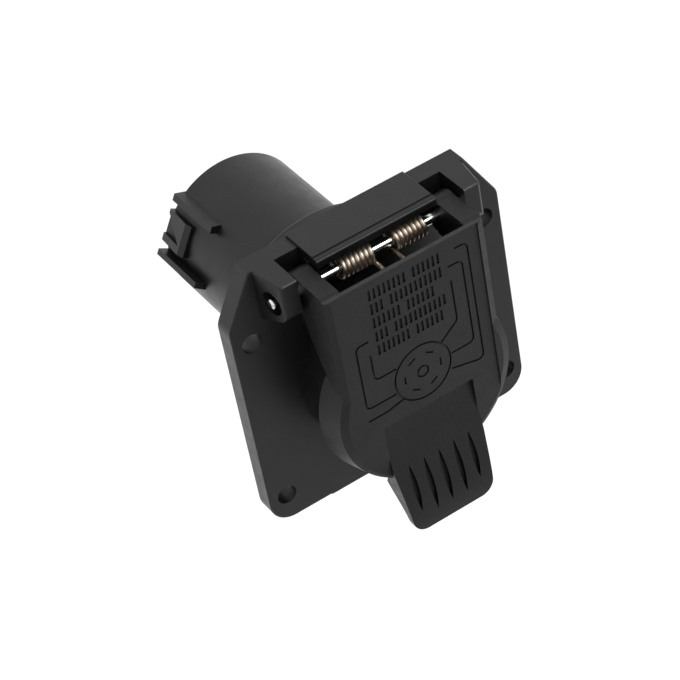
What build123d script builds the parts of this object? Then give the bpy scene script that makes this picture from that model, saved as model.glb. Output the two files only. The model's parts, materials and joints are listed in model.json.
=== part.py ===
from build123d import *
import math
import os

os.makedirs("parts", exist_ok=True)

# Seven-way trailer socket with a sprung lid.
# +X is to the right of the lid, +Y points back along the barrel, +Z is up.
# The origin is the centre of the four mounting holes, on the back face of the flange.

# Flange
hole_spacing_x = 73.0
hole_spacing_z = 54.2
hole_r = 2.9
flange_t = 6.0
flange_half_w = 42.0
flange_top = 48.7
flange_bottom = -35.8
flange_top_half_w = 33.2
flange_shoulder_z = 33.4
flange_shoulder_r = 5.0
flange_corner_r = 7.0
flange_edge = 0.35
land_half_w = 23.0
land_drop = 1.0
land_back_y = -1.0

# Socket shell, on its own axis just above the hole centre
socket_z = 1.5
socket_r = 25.4
bore_r = 22.5
rim_y = -21.6
bore_floor_y = 8.0
keyway_w = 6.4
keyway_depth = 1.6
keyway_end_y = 4.0
collar_r = 30.7
collar_bore_r = 27.0
collar_end_y = 23.4
collar_edge_r = 1.2

# Rear shell
barrel_r = 22.0
barrel_bore_r = 19.2
barrel_end_y = 71.7
barrel_edge = 0.6
shell_flange_y = 16.0
fit_gap = 0.1

# Seal ring between the rear shell and the collar
seal_y = 19.7
seal_half_l = 1.2
seal_groove_r = 25.2

# Hinge
pin_r = 1.5
pin_half_l = 32.0
pin_y = -12.2
pin_z = 41.5
knuckle_r = 5.2
pin_play = 0.05
pin_end_r = 0.6

# Ears and hood
ear_front_y = -16.9
ear_inner_x = 25.6
ear_outer_x = 30.6
ear_root_x = 32.4
ear_bottom_z = 37.4
ear_root_z = 33.4
ear_nose_r = 3.5
ear_corner_r = 1.0
recess_r = 3.5
recess_floor_x = 29.3
hood_half_w = 18.3
hood_front_y = -15.0
hood_top = 49.5
hood_t = 2.6
hood_web_y = -8.6
hood_edge_r = 0.7
hood_step_y = -12.9
hood_step = 0.25

# Lid
lid_half_w = 24.3
lid_top = 46.4
lid_top_r = 2.4
lid_face_y = -26.6
lid_t = 3.3
lid_side_y = -25.9
lid_frame_w = 2.0
lip_t = 0.7
lip_h = 3.0
lip_ramp = 2.0
lid_wall = 2.2
lid_wall_back_y = -18.0
wall_foot_back_y = -20.1
wall_foot_z = 10.5
cap_face_r = 24.4
cap_front_r = 26.6
cap_r = 28.4
cap_bore_r = 26.2
cap_back_y = -18.5
arm_inner_x = 18.9
panel_depth = 0.4
panel_half_w = 22.4
shelf_z = 37.8
shelf_back_y = -18.5
gasket_t = 1.4

# Lid tab
tab_half_w = 14.4
tab_tip_half_w = 12.8
tab_tip_z = -39.7
tab_tip_r = 4.5
tab_shoulder_r = 6.0
pocket_top_z = -3.0
pocket_bottom_z = -20.0
groove_pitch = 4.8
groove_top_z = -18.4
groove_bottom_z = -35.2
groove_w = 1.7
groove_depth = 1.3
outer_groove_shortfall = 1.9

# Engraving on the lid
engraving_w = 0.55
engraving_depth = 0.45
chart_z = 8.6
chart_r = 8.4
hub_r = 1.9
slot_ring_r = 5.6
slot_l = 2.6
ticks_left_x = -11.4
ticks_top_z = 40.9
tick_row_pitch = 4.5
tick_pitch = 1.5
tick_w = 0.75
tick_h = 3.3
tick_groups = [(8, 6), (3, 11), (6, 6), (3, 11), (7, 6)]
chart_leads = [
    [(14.8, 41.2), (18.6, 41.2), (18.6, 1.8), (8.6, 4.2)],
    [(12.1, 36.6), (16.4, 36.6), (16.4, 9.2), (9.2, 9.2)],
    [(12.4, 32.0), (12.4, 18.8), (6.6, 14.4)],
    [(-14.0, 27.2), (-18.0, 27.2), (-18.0, 6.0), (-8.8, 6.0)],
    [(-14.2, 22.6), (-14.2, 14.0), (-7.6, 14.0)],
    [(-18.2, 2.0), (-12.4, 2.0), (-6.4, 3.2)],
]

# Contacts
ring_r = 12.7
tab_ring_r = 8.6
blade_w = 8.0
blade_t = 1.6
blade_tip_y = -8.0
carrier_back_y = 14.0
crank_t = 1.2
rear_tab_w = 4.8
rear_tab_t = 0.8
rear_tab_tip_y = 46.0
blade_edge = 0.5
rear_tab_edge = 0.25
centre_edge = 0.8
centre_tail_edge = 0.4
insulator_back_y = 32.0

# Spring
wire_r = 0.65
coil_r = 2.75
coil_pitch = 1.37
coil_turns = 7.24
spring_shift = 1.5
loop_half_gap = 3.1
loop_y = -22.5
outer_leg_gap = 1.2


def at_y(y):
    """A sketch plane across the barrel axis, with local X = +X and local Y = +Z; its normal is -Y."""
    return Plane.XZ.offset(-y)


def finish(piece, name):
    """Label one finished sub-part and write its STEP file."""
    piece.label = name
    export_step(piece, f"parts/{name}.step")


# Hinge ear on the +X side: tapered in plan, with a rounded nose low at the front
with BuildPart() as ear:
    with BuildSketch(Plane.XY.offset(ear_root_z)) as ear_plan:
        with BuildLine():
            Polyline(
                (ear_inner_x, -flange_t),
                (ear_inner_x, ear_front_y),
                (ear_outer_x, ear_front_y),
                (ear_root_x, -flange_t),
                close=True,
            )
        make_face()
        fillet(ear_plan.vertices().group_by(Axis.Y)[0].sort_by(Axis.X)[-1], ear_corner_r)
    extrude(amount=flange_top - ear_root_z)
    with BuildSketch(Plane.YZ) as ear_side:
        with BuildLine():
            Polyline(
                (-flange_t, flange_top),
                (ear_front_y, flange_top),
                (ear_front_y, ear_bottom_z),
                (-flange_t, ear_root_z),
                close=True,
            )
        make_face()
        fillet(ear_side.vertices().group_by(Axis.X)[0].sort_by(Axis.Y)[0], ear_nose_r)
    extrude(amount=flange_half_w, mode=Mode.INTERSECT)
    chamfer(ear.faces().sort_by(Axis.Z)[-1].edges().sort_by(Axis.Y)[0], flange_edge)


# Front housing: flange, socket shell, rear collar, hinge ears and the hood over the spring
with BuildPart() as front_housing:
    with BuildSketch(at_y(0)) as flange_outline:
        with BuildLine():
            Polyline(
                (-flange_top_half_w, flange_top),
                (flange_top_half_w, flange_top),
                (flange_half_w, flange_shoulder_z),
                (flange_half_w, flange_bottom),
                (-flange_half_w, flange_bottom),
                (-flange_half_w, flange_shoulder_z),
                close=True,
            )
        make_face()
        fillet(flange_outline.vertices().group_by(Axis.Y)[0], flange_corner_r)
        fillet(flange_outline.vertices().group_by(Axis.Y)[-2], flange_shoulder_r)
    extrude(amount=flange_t)
    flange_face_edges = front_housing.faces().sort_by(Axis.Y)[0].edges()
    chamfer(flange_face_edges.sort_by(Axis.Z)[:-1], flange_edge)

    # Land along the middle of the bottom edge, with a sloping front
    with BuildSketch(Plane.YZ.offset(-land_half_w)):
        with BuildLine():
            Polyline(
                (land_back_y, flange_bottom + 1),
                (land_back_y, flange_bottom - land_drop),
                (-flange_t + land_drop, flange_bottom - land_drop),
                (-flange_t, flange_bottom),
                (-flange_t, flange_bottom + 1),
                close=True,
            )
        make_face()
    extrude(amount=2 * land_half_w)

    with BuildSketch(at_y(0)):
        with Locations((0, socket_z)):
            Circle(collar_r)
    extrude(amount=-collar_end_y)
    fillet(front_housing.faces().sort_by(Axis.Y)[-1].edges(), collar_edge_r)

    with BuildSketch(at_y(-flange_t)):
        with Locations((0, socket_z)):
            Circle(socket_r)
    extrude(amount=-rim_y - flange_t)

    add(ear.part)
    add(mirror(ear.part, about=Plane.YZ))

    # Hood: a roof over the spring, standing on a web on the flange, with a low step along its front
    with BuildSketch(Plane.YZ) as hood_side:
        with BuildLine():
            Polyline(
                (0, hood_top),
                (hood_step_y, hood_top),
                (hood_step_y, hood_top - hood_step),
                (hood_front_y, hood_top - hood_step),
                (hood_front_y, hood_top - hood_t),
                (hood_web_y, hood_top - hood_t),
                (hood_web_y, ear_root_z),
                (0, ear_root_z),
                close=True,
            )
        make_face()
        fillet(hood_side.vertices().group_by(Axis.X)[0].sort_by(Axis.Y)[-1], hood_edge_r)
    extrude(amount=hood_half_w, both=True)
    hood_sides = front_housing.edges().filter_by(Axis.Y).group_by(Axis.Z)[-1]
    fillet(hood_sides, hood_step)

    # Bore for the plug, keyway, and the larger bore behind it for the contact carrier
    with BuildSketch(at_y(rim_y)):
        with Locations((0, socket_z)):
            Circle(bore_r)
    extrude(amount=rim_y - bore_floor_y, mode=Mode.SUBTRACT)
    with BuildSketch(at_y(rim_y)):
        with Locations((0, socket_z + bore_r)):
            Rectangle(keyway_w, 2 * keyway_depth)
    extrude(amount=rim_y - keyway_end_y, mode=Mode.SUBTRACT)
    with BuildSketch(at_y(bore_floor_y)):
        with Locations((0, socket_z)):
            Circle(collar_bore_r)
    extrude(amount=bore_floor_y - collar_end_y, mode=Mode.SUBTRACT)

    # Hinge pin holes with a round recess outside each ear
    with BuildSketch(Plane.YZ):
        with Locations((pin_y, pin_z)):
            Circle(pin_r)
    extrude(amount=flange_half_w, both=True, mode=Mode.SUBTRACT)
    for side in (-1, 1):
        with BuildSketch(Plane.YZ.offset(side * recess_floor_x)):
            with Locations((pin_y, pin_z)):
                Circle(recess_r)
        extrude(amount=side * flange_half_w, mode=Mode.SUBTRACT)

    with BuildSketch(at_y(0)):
        with GridLocations(hole_spacing_x, hole_spacing_z, 2, 2):
            Circle(hole_r)
    extrude(amount=flange_t, mode=Mode.SUBTRACT)

finish(front_housing.part, "front_housing")


# Rear shell: a flanged barrel with the latch for the vehicle's harness connector on its side.
# Latch sketches have local X round the barrel and local Y outwards from its axis.
latch_turn = math.radians(60)
rail_start_y = 51.0
rail_r = 23.1
rail_foot_r = 17.0
upper_rail = (6.4, 8.5, 9.7)
lower_rail = (-8.8, -10.6, -11.4)
lock_x = (-5.9, 3.8)
lock_start_y = 60.0
lock_front_r = 22.9
lock_top_r = 23.7
notch_floor_r = 22.2
notch_tip_y = 62.8
notch_x = (-3.6, 2.6)

latch_round = (math.cos(latch_turn), 0, math.sin(latch_turn))
latch_out = (-math.sin(latch_turn), 0, math.cos(latch_turn))
barrel_end = Plane(origin=(0, barrel_end_y, socket_z), x_dir=latch_round, z_dir=(0, -1, 0))
latch_side = Plane(origin=(0, 0, socket_z), x_dir=(0, 1, 0), z_dir=latch_round)
latch_top = Plane(origin=(0, 0, socket_z), x_dir=latch_round, z_dir=latch_out)

with BuildPart() as rear_shell:
    with BuildSketch(at_y(shell_flange_y)):
        with Locations((0, socket_z)):
            Circle(collar_bore_r - fit_gap)
    extrude(amount=shell_flange_y - collar_end_y)
    with BuildSketch(at_y(shell_flange_y)):
        with Locations((0, socket_z)):
            Circle(barrel_r)
    extrude(amount=shell_flange_y - barrel_end_y)
    chamfer(rear_shell.faces().sort_by(Axis.Y)[-1].edges(), barrel_edge)

    # Groove for the seal ring
    with BuildSketch(at_y(seal_y - seal_half_l)):
        with Locations((0, socket_z)):
            Circle(collar_bore_r)
            Circle(seal_groove_r, mode=Mode.SUBTRACT)
    extrude(amount=-2 * seal_half_l, mode=Mode.SUBTRACT)

    # Two rails, each upright towards the lock and sloping away to the barrel outside
    for inner_x, outer_x, foot_x in (upper_rail, lower_rail):
        with BuildSketch(barrel_end):
            with BuildLine():
                Polyline(
                    (inner_x, rail_foot_r),
                    (inner_x, rail_r),
                    (outer_x, rail_r),
                    (foot_x, rail_foot_r),
                    close=True,
                )
            make_face()
        extrude(amount=barrel_end_y - rail_start_y)

    # Lock block between the rails: it rises from its front edge and has a notch in its rear
    with BuildSketch(latch_side.offset(lock_x[0])):
        with BuildLine():
            Polyline(
                (lock_start_y, rail_foot_r),
                (lock_start_y, lock_front_r),
                (lock_start_y + 2, lock_top_r),
                (barrel_end_y, lock_front_r),
                (barrel_end_y, rail_foot_r),
                close=True,
            )
        make_face()
    extrude(amount=lock_x[1] - lock_x[0])
    with BuildSketch(latch_top.offset(notch_floor_r)):
        with BuildLine():
            Polyline(
                (notch_x[0], barrel_end_y),
                (notch_x[1], barrel_end_y),
                (notch_x[0], notch_tip_y),
                close=True,
            )
        make_face()
    extrude(amount=lock_top_r - notch_floor_r, mode=Mode.SUBTRACT)

    with BuildSketch(at_y(shell_flange_y)):
        with Locations((0, socket_z)):
            Circle(barrel_bore_r)
    extrude(amount=shell_flange_y - barrel_end_y, mode=Mode.SUBTRACT)

finish(rear_shell.part, "rear_shell")


# Seal ring in the rear shell's groove, which meets the housing's collar
with BuildPart() as body_seal:
    with BuildSketch(at_y(seal_y - seal_half_l)):
        with Locations((0, socket_z)):
            Circle(collar_bore_r)
            Circle(seal_groove_r, mode=Mode.SUBTRACT)
    extrude(amount=-2 * seal_half_l)

finish(body_seal.part, "body_seal")


# Contacts: six flat blades on a ring round a centre pin.
# Each steps inwards behind the carrier to its rear tab.


def blade_contact(angle):
    """One stamped contact: front blade, inward step and rear tab."""
    with BuildPart() as contact:
        with Locations(Location((0, 0, socket_z), (0, -angle, 0))):
            with Locations((ring_r, (blade_tip_y + carrier_back_y) / 2, 0)):
                Box(blade_t, carrier_back_y - blade_tip_y, blade_w)
            with Locations(((ring_r + tab_ring_r) / 2, carrier_back_y + crank_t / 2, 0)):
                Box(ring_r - tab_ring_r + blade_t, crank_t, rear_tab_w)
            with Locations((tab_ring_r, (carrier_back_y + rear_tab_tip_y) / 2, 0)):
                Box(rear_tab_t, rear_tab_tip_y - carrier_back_y, rear_tab_w)
        chamfer(contact.faces().sort_by(Axis.Y)[0].edges(), blade_edge)
        chamfer(contact.faces().sort_by(Axis.Y)[-1].edges(), rear_tab_edge)
    return contact.part


# Clock positions of the blades, seen from the front with the keyway at 12
blade_hours = [1, 3, 5, 7, 9, 11]
blades = [blade_contact(90 - 30 * hour) for hour in blade_hours]
for hour, blade in zip(blade_hours, blades):
    finish(blade, f"contact_{hour}_oclock")

pin_contact_r = 2.4
pin_contact_tail_r = 1.4

with BuildPart() as centre_contact:
    with BuildSketch(at_y(blade_tip_y)):
        with Locations((0, socket_z)):
            Circle(pin_contact_r)
    extrude(amount=blade_tip_y - carrier_back_y)
    chamfer(centre_contact.faces().sort_by(Axis.Y)[0].edges(), centre_edge)
    with BuildSketch(at_y(carrier_back_y)):
        with Locations((0, socket_z)):
            Circle(pin_contact_tail_r)
    extrude(amount=carrier_back_y - rear_tab_tip_y)
    chamfer(centre_contact.faces().sort_by(Axis.Y)[-1].edges(), centre_tail_edge)

finish(centre_contact.part, "centre_contact")

all_contacts = blades + [centre_contact.part]


def insulator_disc(radius, front_y, back_y):
    """A round insulating disc that every contact passes through."""
    with BuildPart() as disc:
        with BuildSketch(at_y(front_y)):
            with Locations((0, socket_z)):
                Circle(radius)
        extrude(amount=front_y - back_y)
        for contact in all_contacts:
            add(contact, mode=Mode.SUBTRACT)
    return disc.part


finish(insulator_disc(collar_bore_r, bore_floor_y, carrier_back_y), "contact_carrier")
finish(insulator_disc(collar_bore_r, carrier_back_y, shell_flange_y), "potting_fill")
finish(insulator_disc(barrel_bore_r, shell_flange_y, insulator_back_y), "rear_insulator")


# Hinge pin, with rounded ends
with BuildPart() as hinge_pin:
    with BuildSketch(Plane.YZ):
        with Locations((pin_y, pin_z)):
            Circle(pin_r)
    extrude(amount=pin_half_l, both=True)
    fillet(hinge_pin.edges().filter_by(GeomType.CIRCLE), pin_end_r)

finish(hinge_pin.part, "hinge_pin")


# Lid spring: two coils on the hinge pin, joined by a loop that presses on the lid's shelf.
# Each outer end stands up against the web of the hood.
coil_bottom_z = pin_z - coil_r
coil_length = coil_pitch * coil_turns
outer_leg_top_z = hood_top - hood_t - outer_leg_gap
coil_start_x = spring_shift + loop_half_gap
coil_end_x = coil_start_x + coil_length

coil_plane = Plane(origin=(coil_start_x, pin_y, pin_z), x_dir=(0, 0, -1), z_dir=(1, 0, 0))
coil_line = coil_plane * Helix(pitch=coil_pitch, height=coil_length, radius=coil_r)

with BuildPart() as half_spring:
    with BuildSketch(Plane(origin=coil_line @ 0, z_dir=coil_line % 0)):
        Circle(wire_r)
    sweep(path=coil_line, is_frenet=True)

    with BuildSketch(at_y(loop_y)):
        with Locations((coil_start_x, coil_bottom_z)):
            Circle(wire_r)
    extrude(amount=loop_y - pin_y)
    with Locations((coil_start_x, pin_y, coil_bottom_z)):
        Sphere(wire_r)
    with BuildSketch(Plane.YZ.offset(spring_shift)):
        with Locations((loop_y, coil_bottom_z)):
            Circle(wire_r)
    extrude(amount=loop_half_gap)
    with Locations((coil_start_x, loop_y, coil_bottom_z)):
        Sphere(wire_r)
    with BuildSketch(Plane.XY.offset(pin_z)):
        with Locations((coil_end_x, pin_y + coil_r)):
            Circle(wire_r)
    extrude(amount=outer_leg_top_z - pin_z)
    with Locations((coil_end_x, pin_y + coil_r, pin_z)):
        Sphere(wire_r)

with BuildPart() as lid_spring:
    add(half_spring.part)
    add(mirror(half_spring.part, about=Plane.YZ.offset(spring_shift)))

finish(lid_spring.part, "lid_spring")


# Lid tab: curves forwards and down below the cap
tab_floor_y = lid_face_y + 2.0
lid_inner_y = lid_face_y + lid_t

with BuildPart() as tab:
    with BuildSketch(Plane.YZ):
        with BuildLine():
            Spline(
                (tab_floor_y, pocket_top_z),
                (tab_floor_y - 0.9, -10.5),
                (lid_face_y - 0.6, -18.5),
                (lid_face_y - 2.4, -26.5),
                (lid_face_y - 3.8, -34.0),
                (lid_face_y - 4.2, tab_tip_z),
            )
            Line((lid_face_y - 4.2, tab_tip_z), (lid_face_y - 2.5, tab_tip_z))
            Spline(
                (lid_face_y - 2.5, tab_tip_z),
                (lid_face_y - 0.6, -33.5),
                (cap_back_y - 4.3, -27.5),
                (cap_back_y - 3.0, -25.5),
            )
            Line((cap_back_y - 3.0, -25.5), (lid_inner_y, -22.0))
            Line((lid_inner_y, -22.0), (lid_inner_y, pocket_top_z))
            Line((lid_inner_y, pocket_top_z), (tab_floor_y, pocket_top_z))
        make_face()
    extrude(amount=tab_half_w, both=True)
    with BuildSketch(at_y(cap_back_y)) as tab_outline:
        with BuildLine():
            Polyline(
                (-tab_half_w, pocket_top_z),
                (tab_half_w, pocket_top_z),
                (tab_half_w, pocket_bottom_z),
                (tab_tip_half_w, tab_tip_z),
                (-tab_tip_half_w, tab_tip_z),
                (-tab_half_w, pocket_bottom_z),
                close=True,
            )
        make_face()
        fillet(tab_outline.vertices().group_by(Axis.Y)[0], tab_tip_r)
        fillet(tab_outline.vertices().group_by(Axis.Y)[-2], tab_shoulder_r)
    extrude(amount=20, mode=Mode.INTERSECT)

# Finger grooves: lens-shaped cuts that follow the tab's curved face
with BuildPart() as tab_grooves:
    with BuildSketch(at_y(lid_face_y + 2)):
        for index in range(-2, 3):
            shortfall = outer_groove_shortfall if abs(index) == 2 else 0.0
            groove_x = index * groove_pitch
            with BuildLine():
                ThreePointArc(
                    (groove_x, groove_top_z),
                    (groove_x + groove_w / 2, (groove_top_z + groove_bottom_z + shortfall) / 2),
                    (groove_x, groove_bottom_z + shortfall),
                )
                ThreePointArc(
                    (groove_x, groove_bottom_z + shortfall),
                    (groove_x - groove_w / 2, (groove_top_z + groove_bottom_z + shortfall) / 2),
                    (groove_x, groove_top_z),
                )
            make_face()
    extrude(amount=12)
    add(tab.part.moved(Location((0, groove_depth, 0))), mode=Mode.SUBTRACT)

# Lid box: side walls that rise into the hinge arms, with a sloping frame along each side of its face
with BuildPart() as lid_box:
    with BuildSketch(Plane.YZ) as side_profile:
        with BuildLine():
            Polyline(
                (lid_face_y, lid_top),
                (pin_y, lid_top),
                (pin_y, pin_z - knuckle_r),
                (lid_wall_back_y, 21.5),
                (wall_foot_back_y, 17.75),
                (lid_face_y, wall_foot_z),
                close=True,
            )
        make_face()
        with Locations((pin_y, pin_z)):
            Circle(knuckle_r)
        fillet(side_profile.vertices().group_by(Axis.X)[0].sort_by(Axis.Y)[-1], lid_top_r)
    extrude(amount=lid_half_w, both=True)
    with BuildSketch(Plane.XY):
        with BuildLine():
            Polyline(
                (-lid_half_w, 0),
                (-lid_half_w, lid_side_y),
                (-lid_half_w + lid_frame_w, lid_face_y),
                (lid_half_w - lid_frame_w, lid_face_y),
                (lid_half_w, lid_side_y),
                (lid_half_w, 0),
                close=True,
            )
        make_face()
    extrude(amount=2 * lid_top, mode=Mode.INTERSECT)

# Lid: the box, a round cap below it and the lift tab
panel_y = lid_face_y + panel_depth
wall_inner_x = lid_half_w - lid_wall

with BuildPart() as lid:
    # Round cap, wider at its open back than at its face
    with BuildSketch(Plane.XY.offset(socket_z)):
        with BuildLine():
            Polyline(
                (0, cap_back_y),
                (cap_r, cap_back_y),
                (cap_front_r, lid_side_y),
                (cap_face_r, lid_face_y),
                (0, lid_face_y),
                close=True,
            )
        make_face()
    revolve(axis=Axis((0, 0, socket_z), (0, 1, 0)))
    add(lid_box.part)

    # Sunken panel over the whole height of the face
    with BuildSketch(at_y(panel_y)):
        Rectangle(2 * panel_half_w, 4 * lid_top)
    extrude(amount=2 * panel_depth, mode=Mode.SUBTRACT)

    # Spring cavity, above the shelf and between the arms
    with BuildSketch(Plane.YZ):
        with BuildLine():
            Polyline(
                (lid_inner_y, shelf_z),
                (lid_inner_y, lid_top - lip_h - lip_ramp),
                (panel_y + lip_t, lid_top - lip_h),
                (panel_y + lip_t, hood_top),
                (0, hood_top),
                (0, 0),
                (shelf_back_y, 0),
                (shelf_back_y, shelf_z),
                close=True,
            )
        make_face()
    extrude(amount=arm_inner_x, both=True, mode=Mode.SUBTRACT)

    # Pocket, tab and grooves
    with BuildSketch(at_y(tab_floor_y)):
        with Locations((0, pocket_top_z)):
            Rectangle(2 * tab_half_w - 0.4, 30, align=(Align.CENTER, Align.MAX))
    extrude(amount=10, mode=Mode.SUBTRACT)
    add(tab.part)
    add(tab_grooves.part, mode=Mode.SUBTRACT)

    # Hollow inside, below the shelf
    with BuildSketch(at_y(lid_inner_y)):
        with Locations((0, socket_z)):
            Rectangle(2 * wall_inner_x, shelf_z - lid_wall - socket_z, align=(Align.CENTER, Align.MIN))
            Circle(cap_r, mode=Mode.SUBTRACT)
            Circle(cap_bore_r)
    extrude(amount=lid_inner_y, mode=Mode.SUBTRACT)

    # Engraved connection chart: a ring with slots, leads to each side, and rows of plain ticks
    with BuildSketch(at_y(panel_y)):
        with Locations((0, chart_z)):
            Circle(chart_r + engraving_w)
            Circle(chart_r, mode=Mode.SUBTRACT)
            Circle(hub_r)
            Circle(hub_r - engraving_w, mode=Mode.SUBTRACT)
            with PolarLocations(slot_ring_r, len(blade_hours)):
                SlotOverall(slot_l, engraving_w, rotation=90)
        for row, groups in enumerate(tick_groups):
            tick_x = ticks_left_x
            for count in groups:
                for _ in range(count):
                    with Locations((tick_x, ticks_top_z - row * tick_row_pitch)):
                        Rectangle(tick_w, tick_h)
                    tick_x += tick_pitch
                tick_x += tick_pitch
    extrude(amount=-engraving_depth, mode=Mode.SUBTRACT)
    for lead in chart_leads:
        with BuildSketch(at_y(panel_y)):
            with BuildLine():
                FilletPolyline(*lead, radius=1.6)
            trace(line_width=engraving_w)
        extrude(amount=-engraving_depth, mode=Mode.SUBTRACT)

    # Bores on the hinge pin
    with BuildSketch(Plane.YZ):
        with Locations((pin_y, pin_z)):
            Circle(pin_r + pin_play)
    extrude(amount=lid_half_w, both=True, mode=Mode.SUBTRACT)

finish(lid.part, "lid")


# Lid gasket, which seals on the socket's rim
with BuildPart() as lid_gasket:
    with BuildSketch(at_y(lid_inner_y)):
        with Locations((0, socket_z)):
            Circle(cap_bore_r - 0.2)
            Circle(bore_r - 3.0, mode=Mode.SUBTRACT)
    extrude(amount=-gasket_t)

finish(lid_gasket.part, "lid_gasket")
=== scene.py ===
import json
import math

import bmesh
import bpy
from mathutils import Matrix, Vector


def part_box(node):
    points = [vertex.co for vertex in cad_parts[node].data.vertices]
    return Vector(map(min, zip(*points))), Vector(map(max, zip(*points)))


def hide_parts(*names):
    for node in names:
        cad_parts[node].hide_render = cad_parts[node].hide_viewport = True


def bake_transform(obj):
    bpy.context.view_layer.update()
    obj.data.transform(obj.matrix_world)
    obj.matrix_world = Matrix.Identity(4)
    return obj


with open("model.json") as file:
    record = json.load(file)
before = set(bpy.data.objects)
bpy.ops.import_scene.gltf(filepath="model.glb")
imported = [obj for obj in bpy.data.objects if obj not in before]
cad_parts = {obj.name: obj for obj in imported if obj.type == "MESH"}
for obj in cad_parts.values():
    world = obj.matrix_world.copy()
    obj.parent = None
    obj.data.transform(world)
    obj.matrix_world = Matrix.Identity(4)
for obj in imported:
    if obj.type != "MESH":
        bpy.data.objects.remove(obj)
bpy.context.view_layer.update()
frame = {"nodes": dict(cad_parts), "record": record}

# Camera: looks down on the lid's face from its left, rolled a little
AZIMUTH = math.radians(-25.8)
ELEVATION = math.radians(40.4)
ROLL = math.radians(11.5)
DISTANCE = 0.6714
AIM = Vector((-0.0080, 0.0020, 0.0059))
LENS = 133.6
SENSOR_WIDTH = 36.0
CLIP_START = 0.01
CLIP_END = 50.0

# Lid spring: wire radius, turns in each coil, half the width of its middle loop, radius of its bends
WIRE_R = 0.00065
COIL_TURNS = 7.24
LOOP_HALF_WIDTH = 0.0031
BEND_R = 0.0012

# Wire mesh: points along it and round it; each end's dome is one smaller ring, given in wire radii
STEPS_PER_TURN = 28
BEND_STEPS = 8
WIRE_SIDES = 14
DOME_REACH = 0.7
DOME_SIZE = 0.5

# Textured black plastic reflects a little less than polished plastic, the lid's least of all
PLASTIC_IOR = 1.40
LID_IOR = 1.36

# Surface noise: features per metre, and the depth of each bump in metres
CLOUD_SCALE = 90.0
PATCH_SCALE = 260.0
SPARK_SCALE = 2200.0
FINE_GRAIN = 0.00002
HOUSING_GRAIN = 0.00008
LID_GRAIN = 0.00012
STAIN_DEPTH = 0.000004

# The part of a noise's 0 to 1 range that its values mostly fill
NOISE_LOW = 0.3
NOISE_HIGH = 0.7

# Floor: far below the part, white under and behind it. The pale grey in front is painted shade, which
# the part's front and lower faces reflect
FLOOR_Z = -0.35
FLOOR_SIZE = 12.0
FLOOR_ROUGHNESS = 0.9
PAINTED_SHADE_GREY = 0.54
FLOOR_WHITE = 0.97
FADE_AXIS = (0.35, 0.94, 0.0)
PAINTED_SHADE_AT = -0.28
WHITE_AT = -0.04

# Key light: a disk in front of the part, above it and to its right
KEY_PLACE = (0.36, -0.72, 0.78)
KEY_SIZE = 0.30
KEY_POWER = 4.5


# Materials

def new_material(name):
    """A material with its node tree and its Principled shader."""
    material = bpy.data.materials.new(name)
    material.use_nodes = True
    shader = material.node_tree.nodes["Principled BSDF"]
    return material, material.node_tree, shader


def noise(tree, scale, detail, roughness):
    """The strength of a noise in the piece's own coordinates, with scale in features per metre."""
    place = tree.nodes.new("ShaderNodeTexCoord")
    texture = tree.nodes.new("ShaderNodeTexNoise")
    texture.inputs["Scale"].default_value = scale
    texture.inputs["Detail"].default_value = detail
    texture.inputs["Roughness"].default_value = roughness
    tree.links.new(place.outputs["Object"], texture.inputs["Vector"])
    return texture.outputs["Fac"]


def ramp(tree, source, low, high, low_at=NOISE_LOW, high_at=NOISE_HIGH):
    """A ramp of two greys or two colours: low where source is low_at, and high where it is high_at."""
    node = tree.nodes.new("ShaderNodeValToRGB")
    for element, position, colour in zip(node.color_ramp.elements, (low_at, high_at), (low, high)):
        element.position = position
        rgb = (colour,) * 3 if isinstance(colour, float) else colour
        element.color = (*rgb, 1.0)
    tree.links.new(source, node.inputs["Fac"])
    return node.outputs["Color"]


def bump(tree, shader, height, depth):
    """Raises the surface by up to depth metres where height is 1."""
    node = tree.nodes.new("ShaderNodeBump")
    node.inputs["Distance"].default_value = depth
    tree.links.new(height, node.inputs["Height"])
    tree.links.new(node.outputs["Normal"], shader.inputs["Normal"])


def moulded_plastic(name, dark, light, rough_low, rough_high, grain=FINE_GRAIN, ior=PLASTIC_IOR):
    """Black moulded nylon: fine spark texture and faint cloudy patches in colour and gloss."""
    material, tree, shader = new_material(name)
    shader.inputs["IOR"].default_value = ior
    clouds = noise(tree, CLOUD_SCALE, 5.0, 0.6)
    tree.links.new(ramp(tree, clouds, dark, light), shader.inputs["Base Color"])
    patches = noise(tree, PATCH_SCALE, 4.0, 0.6)
    tree.links.new(ramp(tree, patches, rough_low, rough_high), shader.inputs["Roughness"])
    bump(tree, shader, noise(tree, SPARK_SCALE, 6.0, 0.7), grain)
    return material


def metal(name, dark, light, rough_low, rough_high, stains):
    """Bright metal with faint darker, rougher stains, as many in a metre as stains says."""
    material, tree, shader = new_material(name)
    shader.inputs["Metallic"].default_value = 1.0
    stain = noise(tree, stains, 4.0, 0.6)
    tree.links.new(ramp(tree, stain, dark, light), shader.inputs["Base Color"])
    tree.links.new(ramp(tree, stain, rough_high, rough_low), shader.inputs["Roughness"])
    bump(tree, shader, stain, STAIN_DEPTH)
    return material


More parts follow.
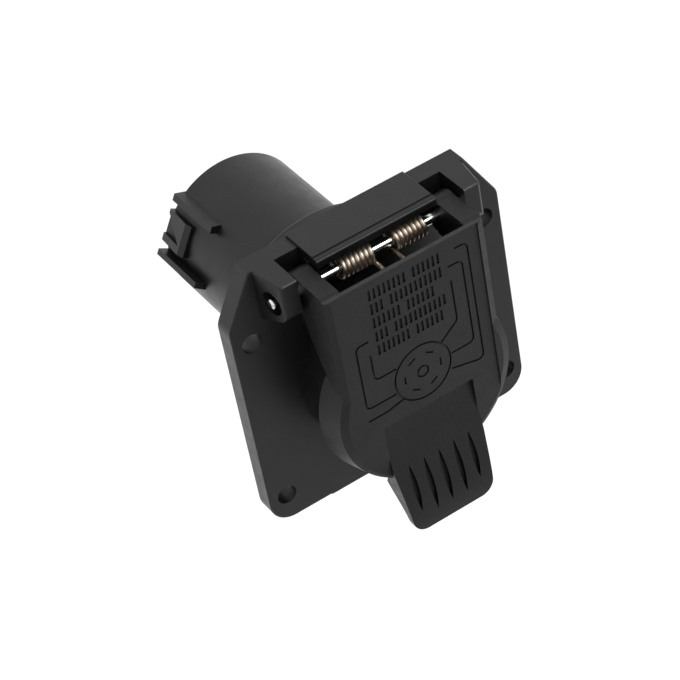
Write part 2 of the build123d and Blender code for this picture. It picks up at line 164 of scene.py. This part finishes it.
materials = {
    "housing": moulded_plastic("housing_nylon", 0.003, 0.006, 0.28, 0.40, HOUSING_GRAIN),
    "lid_plastic": moulded_plastic("lid_nylon", 0.003, 0.006, 0.32, 0.44, LID_GRAIN, LID_IOR),
    "insulator": moulded_plastic("insulator_plastic", 0.010, 0.016, 0.35, 0.50),
    "potting": moulded_plastic("potting_epoxy", 0.010, 0.018, 0.12, 0.25),
    "seal": moulded_plastic("seal_rubber", 0.008, 0.013, 0.65, 0.80),
    "contact": metal("contact_brass", (0.55, 0.38, 0.14), (0.80, 0.60, 0.28), 0.22, 0.40, 900.0),
    "pin_steel": metal("pin_steel", (0.72, 0.72, 0.71), (0.92, 0.92, 0.90), 0.12, 0.24, 1500.0),
    "spring_steel": metal("spring_steel", (0.42, 0.34, 0.27), (0.62, 0.54, 0.45), 0.30, 0.40, 1200.0),
}

for subpart in frame["record"]["subparts"]:
    node = frame["nodes"][subpart["node"]]
    for material_slot in node.material_slots:
        material_slot.material = materials[subpart["material_slot"]]


# Lid spring: each half runs from the middle of its loop, back along one leg, round the coil on the
# pin and up to its outer end.

def wire_mesh(name, path, radius, sides):
    """A closed tube with domed ends along path."""
    tangents = []
    for index in range(len(path)):
        before = path[max(index - 1, 0)]
        after = path[min(index + 1, len(path) - 1)]
        tangents.append((after - before).normalized())
    dome = radius * DOME_REACH
    stations = [(path[0] - tangents[0] * dome, tangents[0], DOME_SIZE)]
    stations += [(point, tangent, 1.0) for point, tangent in zip(path, tangents)]
    stations.append((path[-1] + tangents[-1] * dome, tangents[-1], DOME_SIZE))
    mesh = bmesh.new()
    across = tangents[0].orthogonal().normalized()
    rings = []
    for point, tangent, size in stations:
        across = (across - tangent * across.dot(tangent)).normalized()
        other = tangent.cross(across)
        ring = []
        for side in range(sides):
            turn = math.tau * side / sides
            spoke = math.cos(turn) * across + math.sin(turn) * other
            ring.append(mesh.verts.new(point + radius * size * spoke))
        rings.append(ring)
    for ring, following in zip(rings, rings[1:]):
        for side in range(sides):
            after = (side + 1) % sides
            mesh.faces.new((ring[side], ring[after], following[after], following[side]))
    mesh.faces.new(reversed(rings[0]))
    mesh.faces.new(rings[-1])
    for face in mesh.faces:
        face.smooth = True
    data = bpy.data.meshes.new(name)
    mesh.to_mesh(data)
    mesh.free()
    obj = bpy.data.objects.new(name, data)
    bpy.context.scene.collection.objects.link(obj)
    return obj


def bend(corner, start, end):
    """Points round a bend at corner, from the direction of start to that of end."""
    first = corner + (start - corner).normalized() * BEND_R
    last = corner + (end - corner).normalized() * BEND_R
    points = []
    for step in range(BEND_STEPS + 1):
        along = step / BEND_STEPS
        points.append(
            (1 - along) ** 2 * first + 2 * along * (1 - along) * corner + along ** 2 * last
        )
    return points


pin_low, pin_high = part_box("hinge_pin")
spring_low, spring_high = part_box("lid_spring")
pin_centre = (Vector(pin_low) + Vector(pin_high)) / 2
spring_middle_x = (spring_low[0] + spring_high[0]) / 2
coil_reach = (spring_high[0] - spring_low[0]) / 2 - WIRE_R
coil_r = pin_centre.z - spring_low[2] - WIRE_R
loop_y = spring_low[1] + WIRE_R
loop_z = spring_low[2] + WIRE_R
leg_top_z = spring_high[2] - WIRE_R
coil_steps = round(COIL_TURNS * STEPS_PER_TURN)

for side, half_name in ((-1, "spring_half_left"), (1, "spring_half_right")):
    inner_x = spring_middle_x + side * LOOP_HALF_WIDTH
    outer_x = spring_middle_x + side * coil_reach
    loop_middle = Vector((spring_middle_x, loop_y, loop_z))
    loop_corner = Vector((inner_x, loop_y, loop_z))
    coil_start = Vector((inner_x, pin_centre.y, loop_z))
    wire_path = [loop_middle] + bend(loop_corner, loop_middle, coil_start)
    for step in range(coil_steps + 1):
        turn = math.tau * COIL_TURNS * step / coil_steps
        wire_path.append(Vector((
            inner_x + (outer_x - inner_x) * step / coil_steps,
            pin_centre.y + coil_r * math.sin(turn),
            pin_centre.z - coil_r * math.cos(turn),
        )))
    wire_path.append(Vector((outer_x, pin_centre.y + coil_r, leg_top_z)))
    half = wire_mesh(half_name, wire_path, WIRE_R, WIRE_SIDES)
    half.data.materials.append(materials["spring_steel"])
    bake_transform(half)
    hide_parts("lid_spring")


# Stage: a pale floor well below the part with painted shade in front of it, a white world and one soft
# light

floor_material, floor_tree, floor_shader = new_material("floor_paper_and_painted_shade")
floor_shader.inputs["Roughness"].default_value = FLOOR_ROUGHNESS
floor_place = floor_tree.nodes.new("ShaderNodeTexCoord")
floor_along = floor_tree.nodes.new("ShaderNodeVectorMath")
floor_along.operation = "DOT_PRODUCT"
floor_along.inputs[1].default_value = FADE_AXIS
floor_tree.links.new(floor_place.outputs["Object"], floor_along.inputs[0])
painted_shade_fade = floor_tree.nodes.new("ShaderNodeMapRange")
painted_shade_fade.inputs["From Min"].default_value = PAINTED_SHADE_AT
painted_shade_fade.inputs["From Max"].default_value = WHITE_AT
floor_tree.links.new(floor_along.outputs["Value"], painted_shade_fade.inputs["Value"])
# Painted shade: the floor turns grey in front of the part, so the part's front and lower faces reflect
# darker
floor_white_and_painted_shade = ramp(floor_tree, painted_shade_fade.outputs["Result"], PAINTED_SHADE_GREY, FLOOR_WHITE, 0.0, 1.0)
floor_tree.links.new(floor_white_and_painted_shade, floor_shader.inputs["Base Color"])

bpy.ops.mesh.primitive_plane_add(size=FLOOR_SIZE, location=(0, 0, FLOOR_Z))
floor = bpy.context.object
floor.name = "floor"
floor.data.materials.append(floor_material)

world = bpy.data.worlds.new("studio")
world.use_nodes = True
world_background = world.node_tree.nodes["Background"]
world_background.inputs["Color"].default_value = (1.0, 1.0, 1.0, 1.0)
world_background.inputs["Strength"].default_value = 1.0
bpy.context.scene.world = world
bpy.context.scene.view_settings.view_transform = "Standard"

key_light = bpy.data.lights.new("key", "AREA")
key_light.shape = "DISK"
key_light.size = KEY_SIZE
key_light.energy = KEY_POWER
key_lamp = bpy.data.objects.new("key", key_light)
key_lamp.location = KEY_PLACE
key_lamp.rotation_mode = "QUATERNION"
key_lamp.rotation_quaternion = (Vector(KEY_PLACE) - AIM).to_track_quat("Z", "Y")
bpy.context.scene.collection.objects.link(key_lamp)


# Camera

level_right = Vector((math.cos(AZIMUTH), math.sin(AZIMUTH), 0))
back = Vector((
    math.sin(AZIMUTH) * math.cos(ELEVATION),
    -math.cos(AZIMUTH) * math.cos(ELEVATION),
    math.sin(ELEVATION),
))
level_up = back.cross(level_right)
right = math.cos(ROLL) * level_right - math.sin(ROLL) * level_up
up = math.sin(ROLL) * level_right + math.cos(ROLL) * level_up
camera = bpy.data.objects.new("camera", bpy.data.cameras.new("camera"))
camera.data.lens = LENS
camera.data.sensor_width = SENSOR_WIDTH
camera.data.clip_start = CLIP_START
camera.data.clip_end = CLIP_END
turned = Matrix((right, up, back)).transposed().to_4x4()
camera.matrix_world = Matrix.Translation(AIM + back * DISTANCE) @ turned
bpy.context.scene.collection.objects.link(camera)
bpy.context.scene.camera = camera
